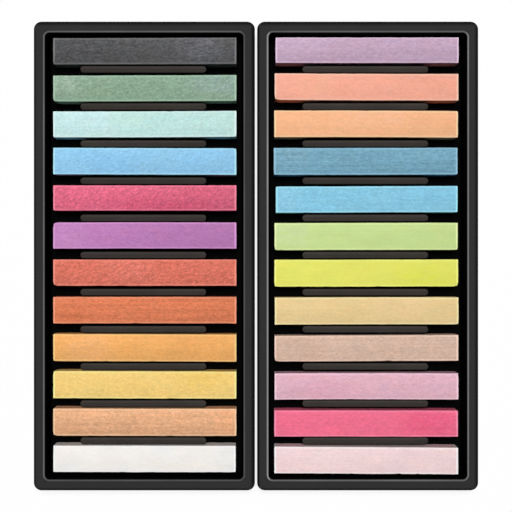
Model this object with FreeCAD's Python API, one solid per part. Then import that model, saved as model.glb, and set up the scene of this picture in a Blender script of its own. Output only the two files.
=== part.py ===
# A pair of shallow black drawers of square pastel sticks, twelve sticks to a drawer.
#
# Each drawer is built from three kinds of piece:
#   shell   a moulded tray. Its rim is a flat land with a rounded outer edge, and a skirt
#           hangs from that edge down to the surface, so the rim is hollow from below.
#   liner   a thin sheet formed to the inside of the shell, with its trimmed edge flush
#           with the rim. Hollow ribs stand on its floor and keep the sticks apart.
#   sticks  square sticks that lie on the liner's floor, one in each slot between two ribs.
#           The ribs stop short of the liner's walls, so that fingers reach the sticks' ends.
#
# The liner lifts out of the shell with its sticks in it, and each stick lifts out of the liner.
#
# Units are millimetres and +Z is up. The drawers lie side by side along X, with their long
# sides along Y. The origin is the centre of the pair's footprint, on the surface it stands on.
# Slots are counted from the back of a drawer, which is its +Y end.

import FreeCAD, Part
import os
from math import cos, radians, sin

# ---- Pastel sticks ---------------------------------------------------------------------------
stick_length = 65.0
stick_side = 9.7  # width and height of the square section
stick_edge_radius = 0.5

# ---- Liner -----------------------------------------------------------------------------------
sheet = 0.6  # thickness of the formed sheet
slot_clearance = 0.15  # between a stick and the foot of the rib on each side of it
end_clearance = 2.0  # between a stick's end and the foot of the liner's wall
back_clearance = 0.6  # between the backmost stick and the foot of the liner's back wall
front_clearance = 1.25  # between the frontmost stick and the foot of the liner's front wall
wall_lean = 0.45  # how far a wall leans outwards from floor to rim
liner_corner_radius = 1.7  # inside corner, seen from above
liner_floor_radius = 0.8  # inside bend between wall and floor
rib_hollow = 1.15  # width of the hollow inside a rib, under its top
rib_lean = 0.4  # how far each face of a rib leans inwards from foot to top
rib_edge_radius = 0.35
rib_drop = 1.2  # from the sticks' top faces down to the ribs' tops
left_finger_gap = 11.2  # along the floor, from the liner's left wall to the end of a rib
right_finger_gap = 12.4  # the same at the right wall

# ---- Shell -----------------------------------------------------------------------------------
shell_wall = 0.9
shell_floor = 1.2
liner_clearance = 0.1  # between the shell's wall and the liner at the rim
skirt_gap = 1.45  # under the rim, between the well's wall and the skirt
skirt_corner_radius = 1.8  # inside corner of the skirt, seen from above
rim_bend_radius = 0.5  # inside the bend from the rim to the skirt
stick_recess = 3.0  # from the rim down to the sticks' top faces
drawer_gap = 0.8  # between the two drawers as they lie

# ---- Sticks in each drawer, from the back slot to the front slot -----------------------------
left_sticks = [
    "charcoal",
    "sage_green",
    "pale_aqua",
    "sky_blue",
    "rose_red",
    "orchid",
    "brick_red",
    "terracotta",
    "amber",
    "straw_yellow",
    "tan",
    "white",
]
right_sticks = [
    "lilac",
    "salmon",
    "apricot",
    "steel_blue",
    "azure",
    "leaf_green",
    "lime_yellow",
    "sand",
    "taupe",
    "rose_pink",
    "hot_pink",
    "blush",
]

# ---- Sizes that follow from the ones above ---------------------------------------------------
tolerance = 1e-4  # two heights or points nearer than this are the same
slots = max(len(left_sticks), len(right_sticks))
rib_top_width = rib_hollow + 2 * sheet
rib_foot_width = rib_top_width + 2 * rib_lean
slot_pitch = stick_side + 2 * slot_clearance + rib_foot_width

liner_floor_width = stick_length + 2 * end_clearance
liner_floor_length = back_clearance + (slots - 1) * slot_pitch + stick_side + front_clearance
mouth_width = liner_floor_width + 2 * wall_lean
mouth_length = liner_floor_length + 2 * wall_lean
rib_foot_length = liner_floor_width - left_finger_gap - right_finger_gap
rib_top_length = rib_foot_length - 2 * rib_lean
rib_offset_x = (left_finger_gap - right_finger_gap) / 2

well_width = mouth_width + 2 * (sheet + liner_clearance)
well_length = mouth_length + 2 * (sheet + liner_clearance)
well_corner_radius = liner_corner_radius + sheet + liner_clearance
rim_width = shell_wall + skirt_gap + shell_wall
rim_edge_radius = rim_bend_radius + shell_wall
rim_corner_radius = skirt_corner_radius + shell_wall
drawer_width = well_width + 2 * rim_width
drawer_length = well_length + 2 * rim_width
drawer_offset_x = (drawer_width + drawer_gap) / 2

stick_base_z = shell_floor + sheet
stick_top_z = stick_base_z + stick_side
rib_top_z = stick_top_z - rib_drop
rim_z = stick_top_z + stick_recess


def rounded_rectangle(size_x, size_y, radius, z):
    """Closed wire of a rectangle with rounded corners, centred on the Z axis at height z.

    The radius may be half of the shorter side, which gives fully round ends.
    """
    corners = []
    for turn, (side_x, side_y) in enumerate(((1, 1), (-1, 1), (-1, -1), (1, -1))):
        centre = FreeCAD.Vector(side_x * (size_x / 2 - radius), side_y * (size_y / 2 - radius), z)
        corner = []
        for degrees in (0, 45, 90):
            angle = radians(90 * turn + degrees)
            corner.append(centre + FreeCAD.Vector(cos(angle), sin(angle), 0) * radius)
        corners.append(corner)
    edges = []
    for corner, next_corner in zip(corners, corners[1:] + corners[:1]):
        edges.append(Part.Arc(*corner).toShape())
        if not corner[-1].isEqual(next_corner[0], tolerance):
            edges.append(Part.LineSegment(corner[-1], next_corner[0]).toShape())
    return Part.Wire(edges)


def straight_block(size_x, size_y, radius, low_z, high_z):
    """Upright block with rounded corners, centred on the Z axis."""
    face = Part.Face(rounded_rectangle(size_x, size_y, radius, low_z))
    return face.extrude(FreeCAD.Vector(0, 0, high_z - low_z))


def leaning_block(foot, top, low_z, high_z):
    """Block whose sides lean; foot and top are each (size along X, size along Y, corner radius)."""
    outlines = [rounded_rectangle(*foot, low_z), rounded_rectangle(*top, high_z)]
    return Part.makeLoft(outlines, True, True)


def round_edges(block, z, radius):
    """The block with all its edges at height z rounded."""
    edges = []
    for edge in block.Edges:
        box = edge.BoundBox
        if max(abs(box.ZMin - z), abs(box.ZMax - z)) < tolerance:
            edges.append(edge)
    return block.makeFillet(radius, edges)


def make_shell():
    """Drawer shell: a well with a flat rim, and a skirt from the rim down to the surface."""
    body = straight_block(drawer_width, drawer_length, rim_corner_radius, 0, rim_z)
    body = round_edges(body, rim_z, rim_edge_radius)
    well = straight_block(well_width, well_length, well_corner_radius, shell_floor, rim_z)

    under_rim_z = rim_z - shell_wall
    inside_skirt = straight_block(
        drawer_width - 2 * shell_wall,
        drawer_length - 2 * shell_wall,
        skirt_corner_radius,
        0,
        under_rim_z,
    )
    inside_skirt = round_edges(inside_skirt, under_rim_z, rim_bend_radius)
    outside_well = straight_block(
        well_width + 2 * shell_wall,
        well_length + 2 * shell_wall,
        well_corner_radius + shell_wall,
        0,
        under_rim_z,
    )
    return body.cut(well).cut(inside_skirt.cut(outside_well))


def liner_block(thickness, low_z):
    """The space inside the liner, grown by a thickness on its walls and at the bend below them."""
    block = leaning_block(
        (
            liner_floor_width + 2 * thickness,
            liner_floor_length + 2 * thickness,
            liner_corner_radius + thickness,
        ),
        (
            mouth_width + 2 * thickness,
            mouth_length + 2 * thickness,
            liner_corner_radius + thickness,
        ),
        low_z,
        rim_z,
    )
    return round_edges(block, low_z, liner_floor_radius + thickness)


def rib_block(inset, low_z, high_z):
    """A rib's outer form in the middle of a drawer, or its hollow, set in from that form all round."""
    foot_width = rib_foot_width - 2 * inset
    top_width = rib_top_width - 2 * inset
    return leaning_block(
        (rib_foot_length - 2 * inset, foot_width, foot_width / 2),
        (rib_top_length - 2 * inset, top_width, top_width / 2),
        low_z,
        high_z,
    )


def make_liner():
    """Formed liner: floor, leaning walls and a hollow rib between each two slots."""
    liner = liner_block(sheet, shell_floor).cut(liner_block(0, stick_base_z))
    rib = round_edges(rib_block(0, stick_base_z, rib_top_z), rib_top_z, rib_edge_radius)
    hollow = rib_block(sheet, shell_floor, rib_top_z - sheet)
    ribs = []
    hollows = []
    for slot in range(slots - 1):
        offset = FreeCAD.Vector(rib_offset_x, slot_y(slot) - slot_pitch / 2, 0)
        ribs.append(rib.translated(offset))
        hollows.append(hollow.translated(offset))
    return liner.fuse(ribs).cut(hollows).removeSplitter()


def make_stick():
    """Square pastel stick, lying along X with its middle over the origin."""
    corner = FreeCAD.Vector(-stick_length / 2, -stick_side / 2, stick_base_z)
    stick = Part.makeBox(stick_length, stick_side, stick_side, corner)
    return stick.makeFillet(stick_edge_radius, stick.Edges)


def slot_y(slot):
    """Y of the middle of a slot, counted from 0 at the back."""
    return liner_floor_length / 2 - back_clearance - stick_side / 2 - slot * slot_pitch


def write_node(name, shape, x, y=0.0):
    """Writes one sub-part, moved to its place, to parts/NAME.step."""
    placed = shape.translated(FreeCAD.Vector(x, y, 0))
    if not placed.isValid() or placed.Volume <= 0:
        raise ValueError(name + " is not a valid solid")
    placed.exportStep(os.path.join("parts", name + ".step"))


def main():
    """Builds both drawers with their liners and sticks, and writes every node."""
    os.makedirs("parts", exist_ok=True)
    shell = make_shell()
    liner = make_liner()
    stick = make_stick()
    drawers = (
        ("left_drawer", -drawer_offset_x, left_sticks),
        ("right_drawer", drawer_offset_x, right_sticks),
    )
    for drawer, x, colours in drawers:
        write_node(drawer + "_shell", shell, x)
        write_node(drawer + "_liner", liner, x)
        for slot, colour in enumerate(colours):
            write_node(colour + "_stick", stick, x, slot_y(slot))


main()
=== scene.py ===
"""The looks of two shallow black drawers that hold square pastel sticks.

The drawers and their liners keep the shapes they were built with and get their plastic finishes here.
Each stick is modelled anew, as pressed chalk with rubbed edges, in the place of its plain block.
Sizes are in millimetres until a mesh, a light or a camera is made, which is in metres.
"""

import logging
import math
from dataclasses import dataclass, field
from enum import Enum, IntEnum
from typing import Generic, Iterator, TypeVar, Union

import bpy
import numpy as np
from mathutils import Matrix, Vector, noise


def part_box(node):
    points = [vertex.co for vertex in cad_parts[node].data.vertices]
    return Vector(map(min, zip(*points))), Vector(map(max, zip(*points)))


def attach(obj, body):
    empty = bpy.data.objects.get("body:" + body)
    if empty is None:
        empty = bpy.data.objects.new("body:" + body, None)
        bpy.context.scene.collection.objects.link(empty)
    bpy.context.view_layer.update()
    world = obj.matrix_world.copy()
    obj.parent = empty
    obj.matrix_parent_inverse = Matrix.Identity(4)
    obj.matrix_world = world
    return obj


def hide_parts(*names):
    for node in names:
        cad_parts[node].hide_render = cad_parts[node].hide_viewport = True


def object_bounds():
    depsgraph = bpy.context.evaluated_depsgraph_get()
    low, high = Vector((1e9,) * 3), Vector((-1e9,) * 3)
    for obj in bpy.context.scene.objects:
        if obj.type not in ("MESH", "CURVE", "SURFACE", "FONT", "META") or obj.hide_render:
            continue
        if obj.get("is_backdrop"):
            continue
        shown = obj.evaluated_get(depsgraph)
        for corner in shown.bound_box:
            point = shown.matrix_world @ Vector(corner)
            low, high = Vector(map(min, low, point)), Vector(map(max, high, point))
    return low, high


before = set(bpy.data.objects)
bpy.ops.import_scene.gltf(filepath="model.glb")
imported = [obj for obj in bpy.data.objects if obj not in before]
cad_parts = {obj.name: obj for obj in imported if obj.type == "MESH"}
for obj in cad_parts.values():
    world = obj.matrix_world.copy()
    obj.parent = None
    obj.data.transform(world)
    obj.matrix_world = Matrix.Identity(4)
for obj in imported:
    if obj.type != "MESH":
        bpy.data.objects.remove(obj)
CAD_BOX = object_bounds()

Colour = tuple[float, float, float, float]
Pair = tuple[float, float]
Triple = tuple[float, float, float]
Socket = bpy.types.NodeSocket
Number = Union[Socket, float]
Paint = Union[Socket, Colour]
Value = TypeVar("Value")

LOG = logging.getLogger("pastel_drawers")
MM = 0.001  # metres in a millimetre
BYTE = 255
WHITE: Colour = (1.0, 1.0, 1.0, 1.0)

# Signs of X and Y at the corners of a square, in turn.
CORNERS = ((-1, -1), (1, -1), (1, 1), (-1, 1))

# The standard curve between display values and linear light.
CURVE_KNEE = 0.04045
CURVE_SLOPE = 12.92
CURVE_OFFSET = 0.055
CURVE_POWER = 2.4

# Where a Mix node has the sockets for colours.
MIX_FACTOR = 0
MIX_BASE = 6
MIX_TINT = 7
MIX_RESULT = 2

FINE_LAYER = 0.55  # strength of each finer layer of noise beside the one before it


def linear_colour(code: str) -> Colour:
    """Turn a colour's six hexadecimal digits into the linear colour that shaders take.

    Args:
        code: Red, green and blue in display values, such as "F0CD7C".

    Returns:
        Linear red, green and blue, and an alpha of one.
    """
    channels = []
    for start in (0, 2, 4):
        value = int(code[start:start + 2], 16) / BYTE
        if value <= CURVE_KNEE:
            channels.append(value / CURVE_SLOPE)
        else:
            channels.append(((value + CURVE_OFFSET) / (1 + CURVE_OFFSET)) ** CURVE_POWER)
    return (*channels, 1.0)


def corners_mm(node: str) -> tuple[np.ndarray, np.ndarray]:
    """Return the lowest and highest corners of a built piece, in millimetres."""
    low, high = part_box(node)
    return np.array(low) / MM, np.array(high) / MM


def blended(first: Colour, second: Colour, share: float) -> Colour:
    """Return a colour between two, with the given share of the second."""
    return tuple(a + (b - a) * share for a, b in zip(first, second))


@dataclass(frozen=True)
class Sides(Generic[Value]):
    """One value for each side of a drawer, as someone in front of it sees them.

    Attributes:
        left: The value at the left side.
        right: The value at the right side.
        back: The value at the back.
        front: The value at the front.
    """

    left: Value
    right: Value
    back: Value
    front: Value


NOUGHT = Sides(0.0, 0.0, 0.0, 0.0)
PLAIN = Sides(1.0, 1.0, 1.0, 1.0)
# How bright each liner's painted highlight on its cut edge is at each side, as the light falls more on some
# sides than on others.
LEFT_CUT = Sides(left=1.0, right=0.63, back=0.88, front=0.65)
RIGHT_CUT = Sides(left=1.98, right=1.34, back=0.86, front=1.0)


class Wiring:
    """The node tree of a material or of the world, whose nodes are added by short calls.

    Attributes:
        tree: The node tree.
    """

    def __init__(self, tree: bpy.types.NodeTree) -> None:
        """Take up a node tree."""
        self.tree = tree

    def node(self, kind: str) -> bpy.types.Node:
        """Add a shader node of a kind, such as "TexNoise"."""
        return self.tree.nodes.new(f"ShaderNode{kind}")

    def put(self, socket: Socket, value: Union[Number, Paint]) -> None:
        """Feed a socket.

        Args:
            socket: The input that is fed.
            value: The output to link it to, or a plain value to write into it.
        """
        if isinstance(value, bpy.types.NodeSocket):
            self.tree.links.new(value, socket)
        else:
            socket.default_value = value

    def maths(self, operation: str, *values: Number) -> Socket:
        """Work out one mathematical operation.

        Args:
            operation: Its name, such as "MULTIPLY_ADD".
            values: Up to three numbers.

        Returns:
            The result.
        """
        node = self.node("Math")
        node.operation = operation
        for socket, value in zip(node.inputs, values):
            self.put(socket, value)
        return node.outputs[0]

    def product(self, *values: Number) -> Number:
        """Multiply several numbers.

        Args:
            values: The numbers.

        Returns:
            Their product.
        """
        result = values[0]
        for value in values[1:]:
            result = self.maths("MULTIPLY", result, value)
        return result


class Recipe(Wiring):
    """A material under construction.

    Attributes:
        material: The Blender material.
        surface: Its Principled shader.
        point: Position in millimetres on the piece at rest, as a vector socket.
        facing_up: How far the surface faces up at rest, from minus one to one.
    """

    def __init__(self, name: str, roughness: float, specular: float) -> None:
        """Start a material with one Principled shader.

        Args:
            name: The material's name.
            roughness: Roughness of the surface all over, until a socket is linked to it.
            specular: Specular level of the surface all over.
        """
        self.material = bpy.data.materials.new(name)
        self.material.use_nodes = True
        super().__init__(self.material.node_tree)
        self.surface = self.tree.nodes["Principled BSDF"]
        self.surface.inputs["Roughness"].default_value = roughness
        self.surface.inputs["Specular IOR Level"].default_value = specular
        coordinates = self.node("TexCoord")
        self.point = self.scaled(coordinates.outputs["Object"], (1 / MM,) * 3)
        self.facing_up = self.axes(coordinates.outputs["Normal"])[2]

    def scaled(self, vector: Socket, scale: Triple) -> Socket:
        """Multiply a vector.

        Args:
            vector: The vector.
            scale: What each of its three parts is multiplied by.

        Returns:
            The longer or shorter vector.
        """
        node = self.node("VectorMath")
        node.operation = "MULTIPLY"
        self.put(node.inputs[0], vector)
        node.inputs[1].default_value = scale
        return node.outputs[0]

    def axes(self, vector: Socket) -> tuple[Socket, Socket, Socket]:
        """Take a vector apart.

        Args:
            vector: The vector.

        Returns:
            Its three parts.
        """
        node = self.node("SeparateXYZ")
        self.put(node.inputs[0], vector)
        return node.outputs[0], node.outputs[1], node.outputs[2]

    def swing(self, value: Socket, amount: float) -> Socket:
        """Turn a number that wanders about 0.5 into a factor that wanders about one."""
        return self.maths("MULTIPLY_ADD", value, amount, 1 - amount / 2)

    def between(self, value: Socket, low: float, high: float, start: float = 0.0, end: float = 1.0) -> Socket:
        """Change smoothly from start to end as a value goes from low to high.

        Args:
            value: The number that is followed.
            low: The value at which the change starts.
            high: The value at which the change is complete.
            start: What is returned up to low.
            end: What is returned from high on.

        Returns:
            The changing number.
        """
        node = self.node("MapRange")
        node.interpolation_type = "SMOOTHSTEP"
        self.put(node.inputs["Value"], value)
        for name, number in (("From Min", low), ("From Max", high), ("To Min", start), ("To Max", end)):
            node.inputs[name].default_value = number
        return node.outputs[0]

    def near(self, value: Socket, middle: float, core: float, reach: float) -> Socket:
        """Return one within a core about a middle, fading to nought at the reach."""
        away = self.maths("ABSOLUTE", self.maths("SUBTRACT", value, middle))
        return self.between(away, core, reach, 1.0, 0.0)

    def from_sides(
        self, low: np.ndarray, high: np.ndarray, fades: Sides[Pair], starts: Sides[float]
    ) -> Socket:
        """Change smoothly from a number of its own at each side of a box to one inside it.

        Args:
            low: The box's lowest corner, in millimetres.
            high: Its highest corner.
            fades: Between which distances from each side the change is made.
            starts: The number at each side.

        Returns:
            The changing number.
        """
        x, y, _ = self.axes(self.point)
        return self.product(
            self.between(x, low[0] + fades.left[0], low[0] + fades.left[1], starts.left, 1.0),
            self.between(x, high[0] - fades.right[1], high[0] - fades.right[0], 1.0, starts.right),
            self.between(y, high[1] - fades.back[1], high[1] - fades.back[0], 1.0, starts.back),
            self.between(y, low[1] + fades.front[0], low[1] + fades.front[1], starts.front, 1.0),
        )

    def grain(
        self, size_mm: Triple, seed: float, detail: float = 2.0, slant: float = 0.0, warp: float = 0.0
    ) -> Socket:
        """Make noise whose blotches have a given size along each axis.

        Args:
            size_mm: Length of a typical blotch along X, Y and Z.
            seed: Which of the endless different patterns to take.
            detail: How many finer layers are added.
            slant: Degrees by which the pattern is turned about Z.
            warp: How far the blotches are bent out of shape.

        Returns:
            A number that wanders about 0.5.
        """
        place = self.point
        if slant:
            turn = self.node("VectorRotate")
            turn.rotation_type = "Z_AXIS"
            self.put(turn.inputs["Vector"], place)
            turn.inputs["Angle"].default_value = -math.radians(slant)
            place = turn.outputs[0]
        node = self.node("TexNoise")
        node.noise_dimensions = "4D"
        self.put(node.inputs["Vector"], self.scaled(place, tuple(1 / size for size in size_mm)))
        node.inputs["W"].default_value = seed
        node.inputs["Scale"].default_value = 1.0
        node.inputs["Detail"].default_value = detail
        node.inputs["Roughness"].default_value = FINE_LAYER
        node.inputs["Distortion"].default_value = warp
        return node.outputs["Fac"]

    def specks(self, spacing_mm: float, radius_mm: float, seed: float) -> Socket:
        """Scatter round specks: one in their middle and nought between them.

        Args:
            spacing_mm: Distance between two specks.
            radius_mm: Radius of a speck.
            seed: Which of the endless different patterns to take.

        Returns:
            The specks, as a number.
        """
        node = self.node("TexVoronoi")
        node.voronoi_dimensions = "4D"
        self.put(node.inputs["Vector"], self.scaled(self.point, (1 / spacing_mm,) * 3))
        node.inputs["W"].default_value = seed
        node.inputs["Scale"].default_value = 1.0
        return self.between(node.outputs["Distance"], 0.0, radius_mm / spacing_mm, 1.0, 0.0)

    def tinted(self, base: Paint, tint: Paint, amount: Number, blend: str = "MIX") -> Socket:
        """Mix a base colour with a tint.

        Args:
            base: The base colour.
            tint: The colour that is laid over it.
            amount: How much of the tint is taken, from nought to one.
            blend: How the two are mixed.

        Returns:
            The mixed colour.
        """
        node = self.node("Mix")
        node.data_type = "RGBA"
        node.blend_type = blend
        self.put(node.inputs[MIX_FACTOR], amount)
        self.put(node.inputs[MIX_BASE], base)
        self.put(node.inputs[MIX_TINT], tint)
        return node.outputs[MIX_RESULT]

    def brightened(self, base: Paint, factor: Socket) -> Socket:
        """Multiply a colour by a number.

        Args:
            base: The colour.
            factor: The number.

        Returns:
            The brighter or darker colour.
        """
        grey = self.node("CombineColor")
        for channel in grey.inputs:
            self.put(channel, factor)
        return self.tinted(base, grey.outputs[0], 1.0, "MULTIPLY")

    def mottled(self, base: Paint, wandering: Socket, amount: float) -> Socket:
        """Let a colour turn a little cooler and warmer.

        Args:
            base: The colour.
            wandering: A number that wanders about 0.5.
            amount: How much cooler and warmer the colour turns.

        Returns:
            The changing colour.
        """
        cool = (1 - amount, 1.0, 1 + amount, 1.0)
        warm = (1 + amount, 1.0, 1 - amount, 1.0)
        return self.tinted(base, self.tinted(cool, warm, wandering), 1.0, "MULTIPLY")

    def attribute(self, name: str) -> Socket:
        """Read a number that the mesh holds at each of its points.

        Args:
            name: The attribute's name.

        Returns:
            The number.
        """
        node = self.node("Attribute")
        node.attribute_name = name
        return node.outputs["Fac"]

    def relief(self, height: Socket, depth_mm: float) -> None:
        """Make the surface bumpy.

        Args:
            height: How high it is from place to place.
            depth_mm: How much higher the surface is where that is one than where it is nought.
        """
        node = self.node("Bump")
        node.inputs["Strength"].default_value = 1.0
        node.inputs["Distance"].default_value = depth_mm * MM
        self.put(node.inputs["Height"], height)
        self.put(self.surface.inputs["Normal"], node.outputs[0])

    def colour(self, value: Paint) -> None:
        """Set the surface's base colour."""
        self.put(self.surface.inputs["Base Color"], value)

    def roughness(self, value: Socket) -> None:
        """Let the surface's roughness vary."""
        self.put(self.surface.inputs["Roughness"], value)


@dataclass(frozen=True)
class Coarseness:
    """How strongly the marks in pressed powder show.

    Attributes:
        grain: Swing of the grain's brightness.
        pits: How dark the pits are.
        flecks: How pale the scattered crumbs of filler are.
    """

    grain: float
    pits: float
    flecks: float


class Texture(Enum):
    """How coarse a stick's pressed powder looks."""

    SILKY = Coarseness(0.10, 0.00, 0.00)
    SMOOTH = Coarseness(0.24, 0.02, 0.02)
    FINE = Coarseness(0.40, 0.04, 0.03)
    GRAINY = Coarseness(0.51, 0.06, 0.05)
    COARSE = Coarseness(0.72, 0.08, 0.07)
    ROUGH = Coarseness(0.90, 0.09, 0.09)
    GRITTY = Coarseness(1.05, 0.10, 0.10)
    SALTED = Coarseness(1.45, 0.20, 0.60)


@dataclass(frozen=True)
class Patch:
    """A place on a stick where its powder is of another tone, or another stick has rubbed off on it.

    Attributes:
        colour: The powder's colour there.
        x: Middle of the patch along the stick, from the stick's middle, in millimetres.
        y: Middle of the patch across the stick, towards the back.
        reach: Half of the patch's length.
        strength: How much of the stick's own colour it hides.
    """

    colour: str
    x: float
    y: float
    reach: float
    strength: float


@dataclass(frozen=True)
class Pigment:
    """One colour of pastel.

    Attributes:
        name: Name of the stick's node, without its ending.
        colour: The powder's colour.
        texture: How coarse the pressed powder looks.
        streaks: How strong the long streaks along the stick are beside the grain.
        slant: Degrees by which its grain runs aslant.
        front_shade: Painted shade: how much darker the stick is at its front edge than at its back edge, as
            if lit from behind.
        end_shade: How much darker its right end is than its left one.
        patches: Places where its tone differs.
    """

    name: str
    colour: str
    texture: Texture
    streaks: float
    slant: float
    front_shade: float
    end_shade: float
    patches: tuple[Patch, ...] = ()


# From the back slot to the front one: name, colour, texture, streaks, slant, front_shade, end_shade
# and patches, each of which is a colour, x, y, reach and strength.
LEFT_PIGMENTS = (
    Pigment("charcoal", "565658", Texture.SALTED, 0.12, 5, 0.30, -0.10, (Patch("72737B", 19, 1, 11, 0.4),)),
    Pigment(
        "sage_green", "8BA790", Texture.ROUGH, 0.25, 12, 0.12, 0.0,
        (Patch("A3AEC4", 28, 2, 17, 0.25), Patch("BBCCBF", -28, 2.5, 8, 0.3)),
    ),
    Pigment(
        "pale_aqua", "C0E4DF", Texture.FINE, 0.45, 18, 0.10, 0.08,
        (Patch("CFE3F2", -20, 1, 17, 0.35), Patch("C3E3C4", -4, 4, 13, 0.2)),
    ),
    Pigment("sky_blue", "90C6E9", Texture.GRAINY, 0.1, 12, 0.15, 0.06, (Patch("80B9E8", -12, -1, 12, 0.3),)),
    Pigment("rose_red", "D86680", Texture.GRITTY, 0.35, 25, 0.26, 0.13, (Patch("D44A72", 6, -4.5, 30, 0.4),)),
    Pigment("orchid", "BA7CB4", Texture.FINE, 0.2, -10, 0.10, 0.16, (Patch("CD9FC6", -29, 0, 12, 0.25),)),
    Pigment("brick_red", "D67260", Texture.GRITTY, 0.2, 15, 0.15, 0.02, (Patch("DD8274", -6, 2, 14, 0.35),)),
    Pigment(
        "terracotta", "D87C57", Texture.COARSE, 0.7, -5, 0.16, 0.10,
        (Patch("C56E4A", -27, -2, 8, 0.35),),
    ),
    Pigment(
        "amber", "ECAC66", Texture.FINE, 0.35, -6, 0.22, 0.05,
        (Patch("EDB285", -20, 0, 11, 0.4), Patch("DF9D62", 15, 2, 8, 0.25)),
    ),
    Pigment(
        "straw_yellow", "F0CD7C", Texture.FINE, 0.15, -12, 0.10, 0.02,
        (Patch("F1C75E", 21, 2.5, 13, 0.4),),
    ),
    Pigment("tan", "E1AB83", Texture.COARSE, 0.5, -10, 0.30, 0.0, (Patch("EBA777", 31, 1, 8, 0.4),)),
    Pigment("white", "F0EDE9", Texture.SILKY, 0.3, 0, 0.06, 0.01, (Patch("E6E4E4", 30, 1, 6, 0.4),)),
)
RIGHT_PIGMENTS = (
    Pigment("lilac", "BFA2BA", Texture.GRAINY, 0.3, 0, 0.18, 0.03, (Patch("CDB2CA", -24, 2, 14, 0.4),)),
    Pigment("salmon", "F2AA94", Texture.SMOOTH, 0.4, -10, 0.08, 0.06, (Patch("EFB693", -18, 1, 9, 0.4),)),
    Pigment("apricot", "F2B589", Texture.SMOOTH, 0.6, -5, 0.12, 0.05, (Patch("F4BE9F", 2, 3, 18, 0.4),)),
    Pigment("steel_blue", "74A3B9", Texture.COARSE, 0.85, 0, 0.15, 0.05, (Patch("84A6B4", -26, 2, 9, 0.4),)),
    Pigment("azure", "86C5DF", Texture.GRAINY, 0.4, 0, 0.08, 0.05, (Patch("A2D2E6", -29, 0, 8, 0.3),)),
    Pigment("leaf_green", "C5DB91", Texture.SILKY, 0.85, 0, 0.06, 0.05, (Patch("CEDCAC", -27, 1, 10, 0.5),)),
    Pigment("lime_yellow", "E2E269", Texture.SILKY, 0.6, 0, 0.05, 0.05, (Patch("DEE54A", 20, -2, 13, 0.5),)),
    Pigment("sand", "E4C891", Texture.SMOOTH, 0.4, 0, 0.11, 0.03, (Patch("EBC99E", 12, 2, 12, 0.4),)),
    Pigment("taupe", "D2B3A1", Texture.GRAINY, 0.5, 8, 0.11, 0.01, (Patch("CDAC96", -22, 0, 11, 0.4),)),
    Pigment("rose_pink", "DFB0BF", Texture.FINE, 0.4, 0, 0.15, 0.02, (Patch("DC95B2", -14, -3, 15, 0.3),)),
    Pigment("hot_pink", "EE6F8D", Texture.FINE, 0.5, 6, 0.07, 0.05, (Patch("E85880", 22, 0, 14, 0.6),)),
    Pigment("blush", "EED2D3", Texture.SMOOTH, 0.5, -6, 0.07, 0.04, (Patch("F1DAD6", -10, 2, 16, 0.4),)),
)


@dataclass(frozen=True)
class Lie:
    """How a stick lies in its slot, and how its size differs from its plain block, in millimetres.

    Attributes:
        slide: How far it has slid along its slot towards its right end.
        shift: How far it lies towards the back of its slot.
        turn: How far its right end lies further back than its middle does.
        narrower: How much narrower it is than its block.
        shorter: How much shorter it is than its block.
    """

    slide: float = 0.0
    shift: float = 0.0
    turn: float = 0.0
    narrower: float = 0.1
    shorter: float = 0.0


# From the back slot to the front one: slide, shift, turn, narrower and shorter.
LEFT_LIES = (
    Lie(0.0, -0.25, 0.1, 0.3, 0.2),
    Lie(0.0, -0.25, 0.1, 0.45, 0.2),
    Lie(0.0, 0.2, 0.1, 0.45, 0.2),
    Lie(0.0, 0.25, -0.1, 0.2, 0.2),
    Lie(0.0, 0.45, 0.0, 0.7, 0.2),
    Lie(0.0, 0.35, 0.0, 0.35, 0.2),
    Lie(0.0, 0.35, 0.0, 0.35, 0.2),
    Lie(0.0, 0.25, 0.0, 0.25, 0.2),
    Lie(0.0, 0.1, -0.1, 0.0, 0.2),
    Lie(0.0, 0.15, -0.1, 0.0, 0.2),
    Lie(0.0, 0.1, -0.05, 0.0, 0.2),
    Lie(-0.1, 0.3, -0.05, 0.3, 0.5),
)
RIGHT_LIES = (
    Lie(-0.05, 0.05, 0.0, 0.6, 0.2),
    Lie(-0.25, 0.2, -0.1, 0.2),
    Lie(-0.4, 0.3, -0.1, 0.2),
    Lie(-0.55, 0.25, 0.05, 0.1),
    Lie(-0.2, -0.05, 0.1, 0.35, 0.7),
    Lie(-0.4, 0.0, 0.05, 0.05, 0.2),
    Lie(-0.35, 0.2, 0.05, 0.1),
    Lie(-0.2, 0.0, 0.05, 0.05),
    Lie(-0.3, -0.05, 0.15, 0.5),
    Lie(-0.25, -0.35, 0.0, 0.35),
    Lie(-0.4, -0.35, -0.05, 0.35),
    Lie(-0.35, -0.25, -0.2, 0.2),
)


class ChalkLayer(IntEnum):
    """Which of the endless patterns each layer of a stick takes, counted from the stick's own."""

    GRIT = 0
    STREAKS = 3
    WISPS = 5
    CLOUDS = 7
    PITS = 11
    FLECKS = 13
    MOTTLE = 17
    PATCHES = 20


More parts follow.
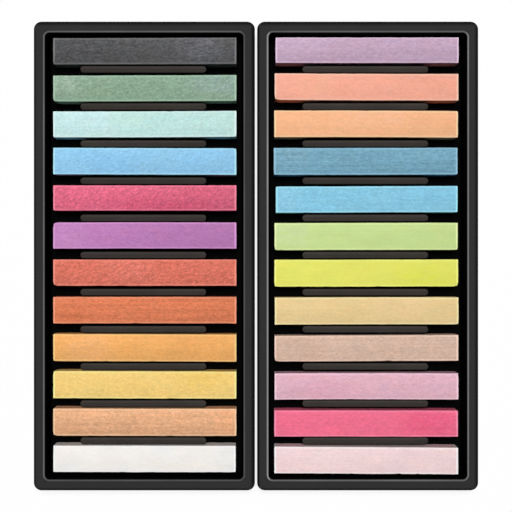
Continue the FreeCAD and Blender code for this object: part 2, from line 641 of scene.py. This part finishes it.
@dataclass(frozen=True)
class ChalkFinish:
    """Dry pressed pigment: quite matt and grainy, and paler along its edges, partly as rubbed powder and
    partly as a painted highlight.

    Attributes:
        roughness: Roughness of the powder.
        specular: Specular level of the powder.
        detail: How many finer layers the grain, wisps, streaks and clouds have.
        grit_mm: Size of the finest grain along, across and up.
        wisp_mm: Size of the slanting wisps left by drying.
        wisps: Swing of the wisps' brightness beside the grain's.
        wisp_warp: How far the wisps are bent out of shape.
        wisp_height: Height of the wisps beside the grain's.
        streak_mm: Size of a drag streak.
        cloud_mm: Size of the broad uneven areas.
        clouds: Swing of the broad uneven areas' brightness.
        mottle_mm: Size of the cooler and warmer areas.
        mottle: How much cooler and warmer they are.
        speck_spacing_mm: Distance between pits, and between flecks.
        speck_radius_mm: Radius of a pit or a fleck.
        pit_depth: Depth of the pits beside the grain's height.
        relief_mm: Height of the grain.
        ragged_mm: Size of the ragged edge of a patch.
        ragged_fade: Between which values of the ragged noise a patch comes up.
        patch_core: How much of a patch's reach along the stick is fully of its tone.
        patch_breadth: Between which shares of the stick's half width a patch fades across it.
        rub: How much brighter a rubbed edge is, partly rubbed powder and partly a painted highlight.
        dust: How much white is mixed into a rubbed edge, as dust and as a painted highlight.
        whitest: The most light that powder gives back.
    """

    roughness: float = 0.92
    specular: float = 0.1
    detail: float = 1.0
    grit_mm: Triple = (0.78, 0.46, 0.46)
    wisp_mm: Triple = (2.2, 0.8, 0.8)
    wisps: float = 0.64
    wisp_warp: float = 0.4
    wisp_height: float = 0.6
    streak_mm: Triple = (40.0, 0.8, 0.8)
    cloud_mm: Triple = (9.0, 4.0, 4.0)
    clouds: float = 0.14
    mottle_mm: Triple = (7.0, 3.2, 3.2)
    mottle: float = 0.06
    speck_spacing_mm: float = 1.7
    speck_radius_mm: float = 0.32
    pit_depth: float = 0.6
    relief_mm: float = 0.05
    ragged_mm: Triple = (3.0, 1.6, 1.6)
    ragged_fade: Pair = (0.25, 0.6)
    patch_core: float = 0.25
    patch_breadth: Pair = (0.3, 1.5)
    rub: float = 1.48
    dust: float = 0.08
    whitest: float = 0.95

    def _tone(
        self, recipe: Recipe, pigment: Pigment, half_length: float, half_width: float, seed: float
    ) -> Socket:
        """Return how bright the powder is from place to place, and raise its relief.

        Args:
            recipe: The material under construction.
            pigment: The stick's pigment.
            half_length: Half of the stick's length, in millimetres.
            half_width: Half of the stick's width, in millimetres.
            seed: Which pattern of grain to take.

        Returns:
            A factor for the powder's colour.
        """
        coarseness, slant = pigment.texture.value, pigment.slant
        x, y, _ = recipe.axes(recipe.point)
        grit = recipe.grain(self.grit_mm, seed + ChalkLayer.GRIT, self.detail, slant)
        wisps = recipe.grain(self.wisp_mm, seed + ChalkLayer.WISPS, self.detail, slant, self.wisp_warp)
        streaks = recipe.grain(self.streak_mm, seed + ChalkLayer.STREAKS, self.detail)
        clouds = recipe.grain(self.cloud_mm, seed + ChalkLayer.CLOUDS, self.detail, slant)
        pits = recipe.specks(self.speck_spacing_mm, self.speck_radius_mm, seed + ChalkLayer.PITS)
        flecks = recipe.specks(self.speck_spacing_mm, self.speck_radius_mm, seed + ChalkLayer.FLECKS)
        front, end = pigment.front_shade / 2, pigment.end_shade / 2

        height = recipe.maths("MULTIPLY_ADD", wisps, self.wisp_height, grit)
        recipe.relief(recipe.maths("MULTIPLY_ADD", pits, -self.pit_depth, height), self.relief_mm)
        return recipe.product(
            recipe.swing(grit, coarseness.grain),
            recipe.swing(wisps, coarseness.grain * self.wisps),
            recipe.swing(streaks, coarseness.grain * pigment.streaks),
            recipe.swing(clouds, self.clouds),
            # Painted shade, darker towards the stick's front edge.
            recipe.between(y, -half_width, half_width, 1 - front, 1 + front),
            recipe.between(x, -half_length, half_length, 1 + end, 1 - end),
            recipe.maths("MULTIPLY_ADD", pits, -coarseness.pits, 1.0),
            recipe.maths("MULTIPLY_ADD", flecks, coarseness.flecks, 1.0),
        )

    def material(
        self, pigment: Pigment, half_length: float, half_width: float, seed: float
    ) -> bpy.types.Material:
        """Mix the finish for one pigment.

        Args:
            pigment: The stick's pigment.
            half_length: Half of the stick's length, in millimetres.
            half_width: Half of the stick's width, in millimetres.
            seed: Which pattern of grain to take.

        Returns:
            The material.
        """
        recipe = Recipe(f"{pigment.name}_pastel", self.roughness, self.specular)
        tone = self._tone(recipe, pigment, half_length, half_width, seed)
        x, y, _ = recipe.axes(recipe.point)
        own = linear_colour(pigment.colour)
        mottling = recipe.grain(self.mottle_mm, seed + ChalkLayer.MOTTLE, self.detail, pigment.slant)
        colour = recipe.mottled(own, mottling, self.mottle)
        low_breadth, high_breadth = (half_width * share for share in self.patch_breadth)
        for layer, patch in enumerate(pigment.patches, ChalkLayer.PATCHES):
            ragged = recipe.grain(self.ragged_mm, seed + layer, slant=pigment.slant)
            amount = recipe.product(
                recipe.near(x, patch.x, patch.reach * self.patch_core, patch.reach),
                recipe.near(y, patch.y, low_breadth, high_breadth),
                recipe.between(ragged, *self.ragged_fade),
                patch.strength,
            )
            colour = recipe.tinted(colour, linear_colour(patch.colour), amount)
        # The pale edges are partly rubbed powder and partly a painted highlight.
        brighter = tuple(min(channel * self.rub, self.whitest) for channel in own)
        rubbed = blended(brighter, WHITE, self.dust)
        recipe.colour(recipe.tinted(recipe.brightened(colour, tone), rubbed, recipe.attribute("wear")))
        return recipe.material


class PlasticLayer(IntEnum):
    """Which of the endless patterns each layer of the plastic takes."""

    MOULD_GRAIN = 1
    MOULD_HANDLING = 2
    MOULD_SCUFFS = 3
    SHEET_SCUFFS = 4
    SHEET_GRAIN = 5
    SHEET_HANDLING = 6


@dataclass(frozen=True)
class MouldedFinish:
    """Black moulded plastic of the drawer shells, with a painted sheen of dark grey on the flat of their rims
    and painted shade along the rims' rounded outer edges.

    Attributes:
        deep: Near-black painted shade on the plastic along the rounded outer edge of the rim.
        side: Its colour on the skirt and in the well.
        rubbed: Its grey on the flat of the rim, a painted sheen of the light above.
        sheen_from: Between which distances from each side of the drawer the grey comes up.
        sheen_below: Between which depths below the rim the grey comes up.
        sheen_tilt: Between which values of facing up the grey comes up.
        bend_below: Between which depths below the rim the rounded edge's colour comes up.
        bend_tilt: Between which values of facing up that colour comes up.
        roughness: Its middle roughness.
        handled: How far its roughness goes below the middle one, and how far above it.
        handled_fade: Between which values of the handling's noise it goes from least to most rough.
        specular: Its specular level.
        grain_mm: Size of the mould's grain.
        grain_height: Height of the mould's grain.
        handling_mm: Size of the areas that were handled more or less.
        handling: Swing of their brightness.
        scuff_mm: Size of a scuff.
        scuff_slant: Degrees by which the scuffs run aslant.
        scuffs: Swing of the scuffs' brightness.
        scuff_height: Height of the scuffs beside the grain's.
    """

    deep: str = "080809"
    side: str = "19191A"
    rubbed: str = "2B2B2B"
    # The painted sheen fades into painted shade towards the rim's outer edge, furthest at the back and the
    # right.
    sheen_from: Sides[Pair] = Sides(
        left=(0.55, 0.95), right=(0.45, 1.85), back=(0.5, 2.05), front=(0.35, 1.15)
    )
    sheen_below: Pair = (1.0, 0.7)
    sheen_tilt: Pair = (0.3, 0.7)
    bend_below: Pair = (1.5, 1.1)
    bend_tilt: Pair = (0.1, 0.5)
    roughness: float = 0.72
    handled: Pair = (0.05, 0.06)
    handled_fade: Pair = (0.3, 0.7)
    specular: float = 0.07
    grain_mm: Triple = (0.28, 0.28, 0.28)
    grain_height: float = 0.012
    handling_mm: Triple = (18.0, 24.0, 12.0)
    handling: float = 0.2
    scuff_mm: Triple = (0.5, 7.0, 0.5)
    scuff_slant: float = 8.0
    scuffs: float = 0.12
    scuff_height: float = 0.3

    def material(self, low: np.ndarray, high: np.ndarray) -> bpy.types.Material:
        """Mix the finish for one drawer shell.

        Args:
            low: The shell's lowest corner, in millimetres.
            high: Its highest corner.

        Returns:
            The material.
        """
        recipe = Recipe("shell_plastic", self.roughness, self.specular)
        grain = recipe.grain(self.grain_mm, PlasticLayer.MOULD_GRAIN)
        handling = recipe.grain(self.handling_mm, PlasticLayer.MOULD_HANDLING)
        scuffs = recipe.grain(self.scuff_mm, PlasticLayer.MOULD_SCUFFS, slant=self.scuff_slant)
        _, _, height = recipe.axes(recipe.point)
        # Painted sheen on the flat of the rim, fading out towards its outer edges.
        rubbed = recipe.product(
            recipe.from_sides(low, high, self.sheen_from, NOUGHT),
            recipe.between(recipe.facing_up, *self.sheen_tilt),
            recipe.between(height, *(high[2] - depth for depth in self.sheen_below)),
        )
        # Painted shade on the rounded outer edge of the rim.
        bend = recipe.product(
            recipe.between(recipe.facing_up, *self.bend_tilt),
            recipe.between(height, *(high[2] - depth for depth in self.bend_below)),
        )
        colour = recipe.tinted(linear_colour(self.side), linear_colour(self.deep), bend)
        colour = recipe.tinted(colour, linear_colour(self.rubbed), rubbed)
        tone = recipe.product(recipe.swing(handling, self.handling), recipe.swing(scuffs, self.scuffs))
        recipe.colour(recipe.brightened(colour, tone))
        smoothest = self.roughness - self.handled[0]
        roughest = self.roughness + self.handled[1]
        recipe.roughness(recipe.between(handling, *self.handled_fade, smoothest, roughest))
        relief = recipe.maths("MULTIPLY_ADD", scuffs, self.scuff_height, grain)
        recipe.relief(relief, self.grain_height)
        return recipe.material


@dataclass(frozen=True)
class FormedFinish:
    """Black formed sheet of the liners, with a painted sheen of grey on the ribs' tops, a painted highlight
    on its cut edge and painted shade inside its slots.

    Attributes:
        deep: Near-black painted shade on the liner's inside, down in the slots.
        outside: Colour of the liner's outside and underside, which are seen when it is lifted out.
        lean: Facing up by less than minus this is outside, and by more than this is inside.
        rubbed: Colour of the ribs' tops, a painted sheen of the light above.
        sheen_off: Between which distances from the height of the ribs' tops the grey ends.
        sheen_tilt: Between which values of facing up the grey comes up.
        back_highlight: How much brighter a rib's top is along its back.
        back_fade: Between which distances behind a rib's middle it turns brighter.
        cut: Colour of the sheet's cut edge, a pale painted highlight.
        cut_below: Between which depths below the edge its colour comes up.
        cut_from: Between which distances from a side the edge's brightness turns plain.
        cut_brightness: How bright the cut edge's painted highlight is at each side, where one is plain.
        roughness: Roughness of the sheet.
        specular: Its specular level.
        grain_mm: Size of the sheet's grain.
        grain_height: Height of the sheet's grain.
        handling_mm: Size of the areas that were handled more or less.
        handling: Swing of their brightness.
        scuff_mm: Size of a scuff.
        scuffs: Swing of the scuffs' brightness.
    """

    deep: str = "020202"
    outside: str = "151516"
    lean: float = 0.02
    rubbed: str = "36322F"
    sheen_off: Pair = (0.08, 0.4)
    sheen_tilt: Pair = (0.05, 0.3)
    back_highlight: float = 0.35
    back_fade: Pair = (0.1, 0.6)
    cut: str = "626262"
    cut_below: Pair = (0.1, 0.03)
    cut_from: Pair = (0.7, 1.5)
    cut_brightness: Sides[float] = PLAIN
    roughness: float = 0.8
    specular: float = 0.03
    grain_mm: Triple = (0.3, 0.3, 0.3)
    grain_height: float = 0.015
    handling_mm: Triple = (11.0, 16.0, 9.0)
    handling: float = 0.5
    scuff_mm: Triple = (6.0, 0.5, 0.5)
    scuffs: float = 0.3

    def material(
        self, low: np.ndarray, high: np.ndarray, rib_top: float, rib_y: float, pitch: float
    ) -> bpy.types.Material:
        """Mix the finish for one liner.

        Args:
            low: The liner's lowest corner, in millimetres.
            high: Its highest corner.
            rib_top: Height of the ribs' tops.
            rib_y: Y of the middle of any rib.
            pitch: Distance from one rib to the next.

        Returns:
            The material.
        """
        recipe = Recipe("liner_plastic", self.roughness, self.specular)
        _, y, height = recipe.axes(recipe.point)
        scuffs = recipe.grain(self.scuff_mm, PlasticLayer.SHEET_SCUFFS)
        handling = recipe.grain(self.handling_mm, PlasticLayer.SHEET_HANDLING, detail=1.0)
        # The walls lean outwards, so that their insides face a little up and their outsides down. The insides
        # take the near-black painted shade, the outsides the sheet's own colour.
        inside = recipe.between(recipe.facing_up, -self.lean, self.lean)
        colour = recipe.tinted(linear_colour(self.outside), linear_colour(self.deep), inside)

        # Painted sheen: the flat tops of the ribs are grey.
        on_rib = recipe.product(
            recipe.near(height, rib_top, *self.sheen_off),
            recipe.between(recipe.facing_up, *self.sheen_tilt),
        )
        across_rib = recipe.maths("WRAP", recipe.maths("SUBTRACT", y, rib_y), pitch / 2, -pitch / 2)
        # Painted highlight along the back of each rib's top.
        back_highlight = recipe.between(across_rib, *self.back_fade, 1.0, 1 + self.back_highlight)
        colour = recipe.tinted(colour, recipe.brightened(linear_colour(self.rubbed), back_highlight), on_rib)

        # Painted highlight: the cut edge is pale, brighter at some sides than at others.
        edge = recipe.between(height, *(high[2] - depth for depth in self.cut_below))
        fades = Sides(self.cut_from, self.cut_from, self.cut_from, self.cut_from)
        brightness = recipe.from_sides(low, high, fades, self.cut_brightness)
        colour = recipe.tinted(colour, recipe.brightened(linear_colour(self.cut), brightness), edge)

        tone = recipe.product(recipe.swing(scuffs, self.scuffs), recipe.swing(handling, self.handling))
        recipe.colour(recipe.brightened(colour, tone))
        recipe.relief(recipe.grain(self.grain_mm, PlasticLayer.SHEET_GRAIN), self.grain_height)
        return recipe.material


@dataclass(frozen=True)
class Wear:
    """What handling has done to the sticks, in millimetres.

    Attributes:
        edge_radius: Radius of a stick's edges before wear.
        rub_width: Width of the rubbed strip along each edge.
        rub_fade: Where the strip has faded out, in widths of the strip.
        rub_mm: Size of the places that are rubbed more or less.
        rub: How rubbed the strip is on average.
        rub_swing: How much more or less it is rubbed from place to place.
        long_rub: How rubbed a long edge is beside one at an end.
        lump_mm: Size of the lumps.
        lumps: Height of the lumps.
        fine_mm: Size of the fine unevenness.
        fine: Height of the fine unevenness.
        edge_reach: How far in from an edge its loss reaches.
        edge_loss: How much an edge has lost everywhere.
        rubbed_loss: How much more it has lost where it is rubbed most.
        rubbed_spread: How far that loss spreads to places that are rubbed less.
        corner_reach: How far in from an upright corner its loss reaches.
        corner_loss: The most that an upright corner has lost.
        corner_rarity: The higher this is, the fewer corners have lost much.
        chips: How many small chips a stick's edges have lost.
        chip_axes: How likely a chip is to be on an edge that runs along X, Y and Z.
        chip_radius: The least and the greatest radius of a chip.
        chip_squeeze: How much of its distance along X counts, which makes a chip longer that way.
        chip_depth: Depth of a chip beside its radius.
        chip_rub: How rubbed a chip looks in its middle.
        bow: How far a stick is typically bowed.
        bow_balance: Where along its half length, squared, a bowed stick keeps to its line.
    """

    edge_radius: float = 0.25
    rub_width: float = 0.55
    rub_fade: float = 1.4
    rub_mm: Triple = (2.8, 2.0, 2.0)
    rub: float = 0.95
    rub_swing: float = 0.6
    long_rub: float = 0.45
    lump_mm: Triple = (8.0, 3.3, 3.3)
    lumps: float = 0.05
    fine_mm: Triple = (1.1, 0.8, 0.8)
    fine: float = 0.02
    edge_reach: float = 0.4
    edge_loss: float = 0.01
    rubbed_loss: float = 0.12
    rubbed_spread: float = 0.05
    corner_reach: float = 0.8
    corner_loss: float = 0.7
    corner_rarity: int = 8
    chips: int = 8
    chip_axes: Triple = (0.8, 0.1, 0.1)
    chip_radius: Pair = (0.35, 0.8)
    chip_squeeze: float = 0.7
    chip_depth: float = 0.3
    chip_rub: float = 0.6
    bow: float = 0.04
    bow_balance: float = 0.4


@dataclass
class PastelStick:
    """A square stick of pressed pastel with rubbed edges and small chips.

    Attributes:
        pigment: The stick's pigment.
        seed: Which of the endless differently worn sticks this is.
        lie: How it lies in its slot.
        wear: What handling has done to it.
        step: Spacing of the mesh away from the stick's edges.
        edge_steps: Where the mesh's points lie on a rounded edge, as shares of its radius.
        least_steps: The fewest steps that the mesh has between two rubbed strips.
        weld_decimals: Points that agree to this many decimals of a millimetre are one.
        noise_span: How far from its origin the noise is read.
        size: Its block's length, width and height.
        middle: The middle of its block.
        random: Its own run of random numbers.
    """

    pigment: Pigment
    seed: int
    lie: Lie
    wear: Wear = Wear()
    step: float = 0.8
    edge_steps: tuple[float, ...] = (0.0, 0.3, 0.65, 1.0)
    least_steps: int = 4
    weld_decimals: int = 4
    noise_span: float = 50.0
    size: np.ndarray = field(init=False)
    middle: np.ndarray = field(init=False)
    random: np.random.Generator = field(init=False)

    def __post_init__(self) -> None:
        """Read the stick's place and size from its plain block."""
        low, high = corners_mm(self.node)
        self.size = high - low
        self.middle = (low + high) / 2
        self.random = np.random.default_rng(self.seed)

    @property
    def node(self) -> str:
        """Name of the plain block, and of the body that it is."""
        return f"{self.pigment.name}_stick"

    @property
    def name(self) -> str:
        """Name of the modelled stick, and of its finish."""
        return f"{self.pigment.name}_pastel"

    def _stations(self, axis: int) -> np.ndarray:
        """Space the mesh's points along one axis, closer together near the edges.

        Args:
            axis: Which axis.

        Returns:
            The points' places, from one side of the block to the other.
        """
        half = self.size[axis] / 2
        rounding = self.wear.edge_radius * np.array(self.edge_steps)
        edge = np.append(rounding, (self.wear.rub_width, self.wear.rub_width * self.wear.rub_fade))
        inner = half - edge[-1]
        count = max(round(2 * inner / self.step), self.least_steps)
        middle = np.linspace(-inner, inner, count + 1)[1:-1]
        return np.concatenate([edge - half, middle, half - edge[::-1]])

    def _sides(self) -> Iterator[tuple[np.ndarray, np.ndarray]]:
        """Lay a grid over each of the block's six sides, before rounding.

        Yields:
            The points and the quads of one side.
        """
        for axis in range(3):
            across, up = (axis + 1) % 3, (axis + 2) % 3
            u, v = self._stations(across), self._stations(up)
            index = np.arange(len(u) * len(v)).reshape(len(u), len(v))
            quads = np.stack([index[:-1, :-1], index[1:, :-1], index[1:, 1:], index[:-1, 1:]], axis=-1)
            quads = quads.reshape(-1, 4)
            for side in (-1, 1):
                points = np.zeros((len(u), len(v), 3))
                points[:, :, axis] = side * self.size[axis] / 2
                points[:, :, across] = u[:, None]
                points[:, :, up] = v[None, :]
                yield points.reshape(-1, 3), quads if side > 0 else quads[:, ::-1]

    def _block(self) -> tuple[np.ndarray, np.ndarray]:
        """Weld the six sides into one block, before rounding.

        Returns:
            The block's points and its quads.
        """
        points, quads, start = [], [], 0
        for side_points, side_quads in self._sides():
            points.append(side_points)
            quads.append(side_quads + start)
            start += len(side_points)
        stacked = np.concatenate(points)
        rounded = stacked.round(self.weld_decimals)
        _, first, inverse = np.unique(rounded, axis=0, return_index=True, return_inverse=True)
        return stacked[first], inverse.reshape(-1)[np.concatenate(quads)]

    def _wander(self, points: np.ndarray, size_mm: Triple) -> np.ndarray:
        """Return smooth random numbers at points, which change over distances of a given size."""
        offset = Vector(self.random.uniform(-self.noise_span, self.noise_span, 3))
        return np.array([noise.noise(Vector(point) + offset) for point in points / size_mm])

    def _strip(self, distance: np.ndarray) -> np.ndarray:
        """Return one in the rubbed strip beside an edge, fading to nought just beyond it."""
        fade = self.wear.rub_fade
        return np.clip((fade - distance / self.wear.rub_width) / (fade - 1), 0, 1)

    def _chip(self, points: np.ndarray, normal: np.ndarray, shaped: np.ndarray) -> np.ndarray:
        """Break one small chip off an edge.

        Args:
            points: The block's points before rounding.
            normal: Which way each point faces.
            shaped: The points so far, which are moved.

        Returns:
            How freshly broken the surface is at each point.
        """
        half = self.size / 2
        place = self.random.uniform(-half, half)
        along = self.random.choice(3, p=self.wear.chip_axes)
        for axis in range(3):
            if axis != along:
                place[axis] = half[axis] * self.random.choice((-1, 1))
        radius = self.random.uniform(*self.wear.chip_radius)
        away = np.linalg.norm((points - place) * (self.wear.chip_squeeze, 1.0, 1.0), axis=1)
        bite = np.clip(1 - (away / radius) ** 2, 0, 1)
        shaped -= normal * (bite * radius * self.wear.chip_depth)[:, None]
        return bite

    def _worn(self, points: np.ndarray) -> tuple[np.ndarray, np.ndarray]:
        """Round, bow, roughen and chip the block.

        Args:
            points: The block's points.

        Returns:
            The worn points, and for each how much it is rubbed, from nought to one.
        """
        wear, half = self.wear, self.size / 2
        core = np.clip(points, wear.edge_radius - half, half - wear.edge_radius)
        normal = points - core
        normal /= np.linalg.norm(normal, axis=1, keepdims=True)
        shaped = core + normal * wear.edge_radius

        inward = half - np.abs(points)
        long_edge = np.maximum(inward[:, 1], inward[:, 2])
        end_edge = np.maximum(inward[:, 0], np.minimum(inward[:, 1], inward[:, 2]))
        upright = np.hypot(inward[:, 0], inward[:, 1])
        near_edge = np.exp(-((np.minimum(long_edge, end_edge) / wear.edge_reach) ** 2))
        near_upright = np.exp(-((upright / wear.corner_reach) ** 2))
        corner = (points[:, 0] > 0) * 2 + (points[:, 1] > 0)
        blunt = wear.corner_loss * self.random.uniform(0, 1, len(CORNERS)) ** wear.corner_rarity
        lumps = self._wander(points, wear.lump_mm)
        rubbing = self._wander(points, wear.rub_mm)
        fine = self._wander(points, wear.fine_mm)
        loss = wear.edge_loss + wear.rubbed_loss * np.clip(rubbing + wear.rubbed_spread, 0, 1)
        push = lumps * wear.lumps + fine * wear.fine - near_edge * loss
        shaped += normal * (push - near_upright * blunt[corner])[:, None]

        # The strips along the edges are paler, partly as rubbed powder and partly as a painted highlight.
        strips = np.maximum(wear.long_rub * self._strip(long_edge), self._strip(end_edge))
        worn = strips * (wear.rub + wear.rub_swing * rubbing)
        for _ in range(wear.chips):
            worn = np.maximum(worn, wear.chip_rub * self._chip(points, normal, shaped))

        bow = self.random.normal(0, wear.bow)
        along = shaped[:, 0] / half[0]
        shaped[:, 0] *= 1 - self.lie.shorter / self.size[0]
        shaped[:, 1] *= 1 - self.lie.narrower / self.size[1]
        shaped[:, 1] += self.lie.shift + self.lie.turn * along + bow * (along ** 2 - wear.bow_balance)
        shaped[:, 0] += self.lie.slide
        shaped[:, 2] = np.clip(shaped[:, 2], -half[2], half[2])
        return shaped, np.clip(worn, 0, 1)

    def build(self) -> bpy.types.Object:
        """Model the stick where its plain block lies.

        Returns:
            The stick, which rides on its body and stands for its block.
        """
        block, quads = self._block()
        shaped, worn = self._worn(block)
        mesh = bpy.data.meshes.new(self.name)
        mesh.from_pydata((shaped * MM).tolist(), [], quads.tolist())
        mesh.shade_smooth()
        # The attribute holds how pale each point is: rubbed powder, fresh chips and a painted highlight along
        # the edges.
        rubbed = mesh.attributes.new("wear", "FLOAT", "POINT")
        rubbed.data.foreach_set("value", worn.astype(np.float32))
        stick = bpy.data.objects.new(self.name, mesh)
        stick.location = self.middle * MM
        bpy.context.scene.collection.objects.link(stick)
        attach(stick, self.node)
        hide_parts(self.node)
        self.name
        return stick

    def dress(self, stick: bpy.types.Object, finish: ChalkFinish) -> None:
        """Give the stick its finish.

        Args:
            stick: The stick's object.
            finish: How pressed powder looks.
        """
        half_length, half_width, _ = self.size / 2
        material = finish.material(self.pigment, half_length, half_width, float(self.seed))
        stick.data.materials.append(material)


class Side(Enum):
    """Which of the two drawers, as someone in front of them sees them."""

    LEFT = "left"
    RIGHT = "right"


@dataclass
class Drawer:
    """One drawer: its shell, its liner and the sticks in its slots.

    Attributes:
        side: Which of the two drawers it is.
        pigments: Its sticks' pigments, from the back slot to the front one.
        lies: How each stick lies in its slot.
        first_seed: Seed of its first stick.
        rib_drop: From the sticks' tops down to the ribs' tops.
    """

    side: Side
    pigments: tuple[Pigment, ...]
    lies: tuple[Lie, ...]
    first_seed: int
    rib_drop: float = 1.2

    @property
    def shell(self) -> bpy.types.Object:
        """The drawer's shell, as it was built."""
        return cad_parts[f"{self.side.value}_drawer_shell"]

    @property
    def liner(self) -> bpy.types.Object:
        """The drawer's liner, as it was built."""
        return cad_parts[f"{self.side.value}_drawer_liner"]

    @property
    def rim(self) -> float:
        """Height of the drawer's rim, in millimetres."""
        return corners_mm(self.shell.name)[1][2]

    def dress_plastic(self, moulded: MouldedFinish, formed: FormedFinish) -> list[bpy.types.Object]:
        """Give the shell and the liner their finishes.

        Args:
            moulded: How the shells' plastic looks.
            formed: How the liners' sheet looks.

        Returns:
            The shell and the liner.
        """
        self.shell.material_slots[0].material = moulded.material(*corners_mm(self.shell.name))
        back_low, back_high = corners_mm(f"{self.pigments[0].name}_stick")
        next_low, next_high = corners_mm(f"{self.pigments[1].name}_stick")
        rib_top = back_high[2] - self.rib_drop
        rib_y = (back_low[1] + next_high[1]) / 2
        pitch = back_low[1] - next_low[1]
        sheet = formed.material(*corners_mm(self.liner.name), rib_top, rib_y, pitch)
        self.liner.material_slots[0].material = sheet
        return [self.shell, self.liner]

    def fill(self, chalk: ChalkFinish) -> list[bpy.types.Object]:
        """Model and dress the sticks.

        Args:
            chalk: How pressed powder looks.

        Returns:
            The sticks, from the back slot to the front one.
        """
        pieces = []
        for slot, (pigment, lie) in enumerate(zip(self.pigments, self.lies)):
            stick = PastelStick(pigment, self.first_seed + slot, lie)
            piece = stick.build()
            stick.dress(piece, chalk)
            pieces.append(piece)
        return pieces


@dataclass
class Studio:
    """A pale floor, soft light from above and behind, and a camera that looks straight down.

    Attributes:
        rim: Height of the drawers' rims, in millimetres.
        camera_height: Height of the camera above the rims.
        picture_width: Width that the picture shows at the height of the rims.
        sensor_width: Width of the camera's sensor.
        clip: The nearest and the farthest that the camera sees, in metres.
        floor_size: Side of the floor, in metres.
        floor_colour: The floor's own colour.
        floor_roughness: The floor's roughness.
        floor_white: How much of what is seen of the floor near the drawers is plain white.
        floor_fade: Between which distances from the middle the floor turns wholly white.
        fill: Strength of the light from all round.
        softbox_place: Where the softbox hangs, in metres.
        softbox_size: Its side, in metres.
        softbox_power: Its power, in watts.
    """

    rim: float
    camera_height: float = 520.0
    picture_width: float = 179.8
    sensor_width: float = 36.0
    clip: Pair = (0.05, 20.0)
    floor_size: float = 10.0
    floor_colour: Colour = (0.97, 0.97, 0.97, 1.0)
    floor_roughness: float = 0.9
    floor_white: float = 0.85
    floor_fade: Pair = (150.0, 450.0)
    fill: float = 0.02
    softbox_place: Triple = (0.05, 0.6, 3.35)
    softbox_size: float = 0.75
    softbox_power: float = 115.0

    def build_camera(self) -> None:
        """Hang the camera over the middle of the pair, looking straight down."""
        camera = bpy.data.cameras.new("overhead_camera")
        camera.sensor_width = self.sensor_width
        camera.lens = self.sensor_width * self.camera_height / self.picture_width
        camera.clip_start, camera.clip_end = self.clip
        holder = bpy.data.objects.new("overhead_camera", camera)
        holder.location = (0.0, 0.0, (self.rim + self.camera_height) * MM)
        bpy.context.scene.collection.objects.link(holder)
        bpy.context.scene.camera = holder

    def _show_white(self, wiring: Wiring, output: str, lit: Socket, white: str, share: Number) -> None:
        """Blend plain white into what the camera and reflections see of the floor or the sky.

        Args:
            wiring: The node tree of a material or of the world.
            output: Name of the tree's output node.
            lit: The shader that lights the scene or is lit in it.
            white: Which kind of shader node gives the white.
            share: How much of what is seen is plain white.
        """
        ray = wiring.node("LightPath")
        seen = ray.outputs["Is Camera Ray"]
        for other in ("Is Glossy Ray", "Is Transmission Ray"):
            seen = wiring.maths("MAXIMUM", seen, ray.outputs[other])
        glow = wiring.node(white)
        glow.inputs["Color"].default_value = WHITE
        glow.inputs["Strength"].default_value = 1.0
        blend = wiring.node("MixShader")
        for socket, value in zip(blend.inputs, (wiring.product(seen, share), lit, glow.outputs[0])):
            wiring.put(socket, value)
        wiring.put(wiring.tree.nodes[output].inputs["Surface"], blend.outputs[0])

    def build_floor(self) -> None:
        """Lay the pale floor that the drawers stand on."""
        half = self.floor_size / 2
        corners = [(x * half, y * half, 0) for x, y in CORNERS]
        mesh = bpy.data.meshes.new("floor")
        mesh.from_pydata(corners, [], [(0, 1, 2, 3)])
        floor = bpy.data.objects.new("floor", mesh)
        bpy.context.scene.collection.objects.link(floor)
        recipe = Recipe("pale_floor", self.floor_roughness, 0.0)
        recipe.colour(self.floor_colour)
        x, y, _ = recipe.axes(recipe.point)
        distance = recipe.maths("SQRT", recipe.maths("MULTIPLY_ADD", x, x, recipe.product(y, y)))
        share = recipe.between(distance, *self.floor_fade, self.floor_white, 1.0)
        self._show_white(recipe, "Material Output", recipe.surface.outputs[0], "Emission", share)
        mesh.materials.append(recipe.material)
        floor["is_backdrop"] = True

    def build_sky(self) -> None:
        """Light the scene evenly from all round, with plain white behind it."""
        world = bpy.data.worlds.new("studio")
        world.use_nodes = True
        wiring = Wiring(world.node_tree)
        background = wiring.tree.nodes["Background"]
        background.inputs["Color"].default_value = WHITE
        background.inputs["Strength"].default_value = self.fill
        self._show_white(wiring, "World Output", background.outputs[0], "Background", 1.0)
        bpy.context.scene.world = world

    def hang_softbox(self) -> None:
        """Hang a square soft light that points at the drawers."""
        light = bpy.data.lights.new("overhead_softbox", "AREA")
        light.shape = "SQUARE"
        light.size = self.softbox_size
        light.energy = self.softbox_power
        holder = bpy.data.objects.new("overhead_softbox", light)
        holder.location = self.softbox_place
        holder.rotation_euler = (-Vector(self.softbox_place)).to_track_quat("-Z", "Y").to_euler()
        bpy.context.scene.collection.objects.link(holder)

    def build(self) -> None:
        """Set up the whole studio."""
        self.build_camera()
        self.build_floor()
        self.build_sky()
        self.hang_softbox()
        bpy.context.scene.view_settings.view_transform = "Standard"


def write_sizes() -> None:
    """Work out the built object's box and the dressed object's box beside each other, without writing or
    keeping them.
    """
    boxes = {"cad": CAD_BOX, "visual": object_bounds()}
    {name: [list(corner) for corner in box] for name, box in boxes.items()}


def main() -> None:
    """Dress both drawers, fill them with sticks, report each piece and set up the studio."""
    logging.basicConfig(level=logging.INFO, format="%(message)s")
    left = Drawer(Side.LEFT, LEFT_PIGMENTS, LEFT_LIES, first_seed=100)
    right = Drawer(Side.RIGHT, RIGHT_PIGMENTS, RIGHT_LIES, first_seed=200)
    for drawer, cut_brightness in ((left, LEFT_CUT), (right, RIGHT_CUT)):
        pieces = drawer.dress_plastic(MouldedFinish(), FormedFinish(cut_brightness=cut_brightness))
        pieces += drawer.fill(ChalkFinish())
        for piece in pieces:
            LOG.info("%s drawer: %s, %d faces", drawer.side.value, piece.name, len(piece.data.polygons))
    Studio(left.rim).build()
    LOG.info("studio: camera, floor, sky and softbox in place")
    write_sizes()


if __name__ == "__main__":
    main()
